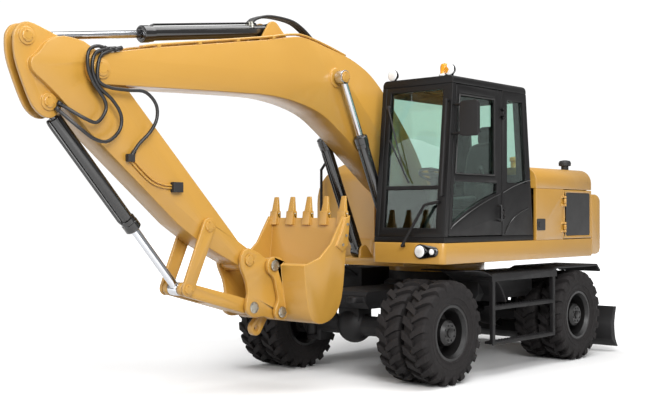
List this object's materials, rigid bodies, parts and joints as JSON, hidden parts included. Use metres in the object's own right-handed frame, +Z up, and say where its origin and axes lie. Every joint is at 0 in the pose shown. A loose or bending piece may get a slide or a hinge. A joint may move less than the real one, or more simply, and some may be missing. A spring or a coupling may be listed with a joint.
{
  "type": "wheeled excavator",
  "caption": "Wheeled excavator with a swinging upper structure, cab, one-piece boom, stick, bucket linkage, twin tyres, steered front axle and rear blade.",
  "frame": {"origin": "centre of the outer box on the ground", "axes": "+X forward along the boom, +Y to the operator's left, +Z up"},
  "size_m": [7.829, 2.866, 3.585],
  "materials": {
    "rubber": "matte",
    "rim": "satin",
    "chassis_paint": "satin",
    "cast": "matte",
    "chrome": "polished",
    "black_paint": "gloss",
    "glass": "gloss",
    "seat_fabric": "matte",
    "plastic": "matte",
    "lamp": "gloss",
    "cab_paint": "satin",
    "yellow_paint": "satin"
  },
  "bodies": {
    "undercarriage": {"chassis": "chassis_paint", "front_axle": "chassis_paint", "rear_axle": "chassis_paint", "driveline": "cast", "step_left": "chassis_paint", "step_right": "chassis_paint"},
    "knuckle_left": {"knuckle_left": "chassis_paint"},
    "knuckle_right": {"knuckle_right": "chassis_paint"},
    "tie_rod": {"tie_rod": "chrome"},
    "wheel_front_left": {"tyres_front_left": "rubber", "rims_front_left": "rim"},
    "wheel_front_right": {"tyres_front_right": "rubber", "rims_front_right": "rim"},
    "wheel_rear_left": {"tyres_rear_left": "rubber", "rims_rear_left": "rim"},
    "wheel_rear_right": {"tyres_rear_right": "rubber", "rims_rear_right": "rim"},
    "blade": {"blade": "chassis_paint"},
    "blade_barrels": {"blade_barrels": "black_paint"},
    "blade_rods": {"blade_rods": "chrome"},
    "upper": {"turntable": "yellow_paint", "counterweight": "yellow_paint", "engine": "cast", "side_panels": "yellow_paint", "right_housing": "yellow_paint", "rails": "chassis_paint", "cab_floor": "cab_paint", "cab_front": "cab_paint", "cab_right": "cab_paint", "cab_rear": "cab_paint", "cab_quarter": "cab_paint", "cab_roof": "cab_paint", "cab_glass": "glass", "seat": "seat_fabric", "console": "plastic", "lamps": "lamp", "mirror_left": "chassis_paint"},
    "hood": {"hood": "yellow_paint"},
    "side_door_left": {"side_door_left": "yellow_paint"},
    "side_door_right": {"side_door_right": "yellow_paint"},
    "cab_door": {"cab_door": "cab_paint", "door_glass": "glass"},
    "boom": {"boom": "yellow_paint"},
    "boom_barrels": {"boom_barrels": "black_paint"},
    "boom_rods": {"boom_rods": "chrome"},
    "stick_barrel": {"stick_barrel": "black_paint"},
    "stick_rod": {"stick_rod": "chrome"},
    "stick": {"stick": "yellow_paint"},
    "bucket_barrel": {"bucket_barrel": "black_paint"},
    "bucket_rod": {"bucket_rod": "chrome"},
    "rocker": {"rocker": "yellow_paint"},
    "link": {"link": "yellow_paint"},
    "bucket": {"coupler": "yellow_paint", "bucket": "yellow_paint"}
  },
  "joints": [
    {"name": "swing", "type": "hinge", "parent": "undercarriage", "child": "upper", "pos_m": [-1.776, -0.1525, 1.06], "axis": [0, 0, 1], "continuous": true},
    {"name": "steer_left", "type": "hinge", "parent": "undercarriage", "child": "knuckle_left", "pos_m": [-0.276, 0.4475, 0.525], "axis": [0, 0, 1], "range_deg": [-30, 30]},
    {"name": "steer_right", "type": "hinge", "parent": "undercarriage", "child": "knuckle_right", "pos_m": [-0.276, -0.7525, 0.525], "axis": [0, 0, 1], "range_deg": [-30, 30]},
    {"name": "tie_rod_slide", "type": "slide", "parent": "undercarriage", "child": "tie_rod", "axis": [0, 1, 0], "range_m": [-0.11, 0.11]},
    {"name": "wheel_front_left", "type": "hinge", "parent": "knuckle_left", "child": "wheel_front_left", "pos_m": [-0.276, 0.8275, 0.525], "axis": [0, 1, 0], "continuous": true},
    {"name": "wheel_front_right", "type": "hinge", "parent": "knuckle_right", "child": "wheel_front_right", "pos_m": [-0.276, -1.1325, 0.525], "axis": [0, 1, 0], "continuous": true},
    {"name": "wheel_rear_left", "type": "hinge", "parent": "undercarriage", "child": "wheel_rear_left", "pos_m": [-2.876, 0.8275, 0.525], "axis": [0, 1, 0], "continuous": true},
    {"name": "wheel_rear_right", "type": "hinge", "parent": "undercarriage", "child": "wheel_rear_right", "pos_m": [-2.876, -1.1325, 0.525], "axis": [0, 1, 0], "continuous": true},
    {"name": "blade_lift", "type": "hinge", "parent": "undercarriage", "child": "blade", "pos_m": [-3.126, -0.1525, 0.52], "axis": [0, 1, 0], "range_deg": [-8, 34]},
    {"name": "blade_ram_swing", "type": "hinge", "parent": "undercarriage", "child": "blade_barrels", "pos_m": [-3.216, -0.1525, 0.9], "axis": [0, 1, 0], "range_deg": [-40, 40]},
    {"name": "blade_ram_slide", "type": "slide", "parent": "blade_barrels", "child": "blade_rods", "axis": [-0.4886, 0, -0.8725], "range_m": [-0.3, 0.3]},
    {"name": "boom_lift", "type": "hinge", "parent": "upper", "child": "boom", "pos_m": [-1.556, -0.1525, 1.72], "axis": [0, -1, 0], "range_deg": [-34, 36]},
    {"name": "boom_ram_swing", "type": "hinge", "parent": "upper", "child": "boom_barrels", "pos_m": [-0.636, -0.1525, 1.3], "axis": [0, -1, 0], "range_deg": [-45, 45]},
    {"name": "boom_ram_slide", "type": "slide", "parent": "boom_barrels", "child": "boom_rods", "axis": [0.4332, 0, 0.9013], "range_m": [-0.7, 0.7]},
    {"name": "stick_crowd", "type": "hinge", "parent": "boom", "child": "stick", "pos_m": [3.164, -0.1525, 2.9], "axis": [0, 1, 0], "range_deg": [-112, 4]},
    {"name": "stick_ram_swing", "type": "hinge", "parent": "boom", "child": "stick_barrel", "pos_m": [1.074, -0.1525, 3.5], "axis": [0, 1, 0], "range_deg": [-30, 30]},
    {"name": "stick_ram_slide", "type": "slide", "parent": "stick_barrel", "child": "stick_rod", "axis": [0.9894, 0, -0.145], "range_m": [-1.2, 0.2]},
    {"name": "bucket_curl", "type": "hinge", "parent": "stick", "child": "bucket", "pos_m": [1.474, -0.1525, 1.28], "axis": [0, 1, 0], "range_deg": [-85, 45]},
    {"name": "rocker_swing", "type": "hinge", "parent": "stick", "child": "rocker", "pos_m": [1.964, -0.1525, 1.6], "axis": [0, 1, 0], "range_deg": [-90, 90]},
    {"name": "link_swing", "type": "hinge", "parent": "rocker", "child": "link", "pos_m": [2.214, -0.1525, 1.04], "axis": [0, 1, 0], "range_deg": [-120, 120]},
    {"name": "bucket_ram_swing", "type": "hinge", "parent": "stick", "child": "bucket_barrel", "pos_m": [3.604, -0.1525, 2.6], "axis": [0, 1, 0], "range_deg": [-30, 30]},
    {"name": "bucket_ram_slide", "type": "slide", "parent": "bucket_barrel", "child": "bucket_rod", "axis": [-0.6653, 0, -0.7466], "range_m": [-0.9, 0.7]},
    {"name": "cab_door_hinge", "type": "hinge", "parent": "upper", "child": "cab_door", "pos_m": [-1.24, 1.1005, 2], "axis": [0, 0, 1], "range_deg": [0, 170]},
    {"name": "hood_hinge", "type": "hinge", "parent": "upper", "child": "hood", "pos_m": [-1.926, -0.1525, 2.24], "axis": [0, 1, 0], "range_deg": [0, 55]},
    {"name": "side_door_left_hinge", "type": "hinge", "parent": "upper", "child": "side_door_left", "pos_m": [-2.54, 1.1155, 1.7], "axis": [0, 0, 1], "range_deg": [-100, 0]},
    {"name": "side_door_right_hinge", "type": "hinge", "parent": "upper", "child": "side_door_right", "pos_m": [-2.54, -1.4205, 1.7], "axis": [0, 0, -1], "range_deg": [-100, 0]}
  ],
  "couplings": [
    {"joint": "steer_right", "follows": "steer_left", "ratio": 1},
    {"joint": "tie_rod_slide", "follows": "steer_left", "m_per_rad": -0.19099},
    {"joint": "blade_ram_swing", "follows": "blade_lift", "ratio": 0.49759},
    {"joint": "blade_ram_slide", "follows": "blade_lift", "m_per_rad": -0.29329},
    {"joint": "boom_ram_swing", "follows": "boom_lift", "ratio": 1.0011},
    {"joint": "boom_ram_slide", "follows": "boom_lift", "m_per_rad": 0.94869},
    {"joint": "stick_ram_swing", "follows": "stick_crowd", "ratio": 0.099036},
    {"joint": "stick_ram_slide", "follows": "stick_crowd", "m_per_rad": 0.53953},
    {"joint": "rocker_swing", "follows": "bucket_curl", "ratio": 0.74877},
    {"joint": "link_swing", "follows": "bucket_curl", "ratio": -0.49441},
    {"joint": "bucket_ram_swing", "follows": "bucket_curl", "ratio": 0.038333},
    {"joint": "bucket_ram_slide", "follows": "bucket_curl", "m_per_rad": 0.41494}
  ]
}
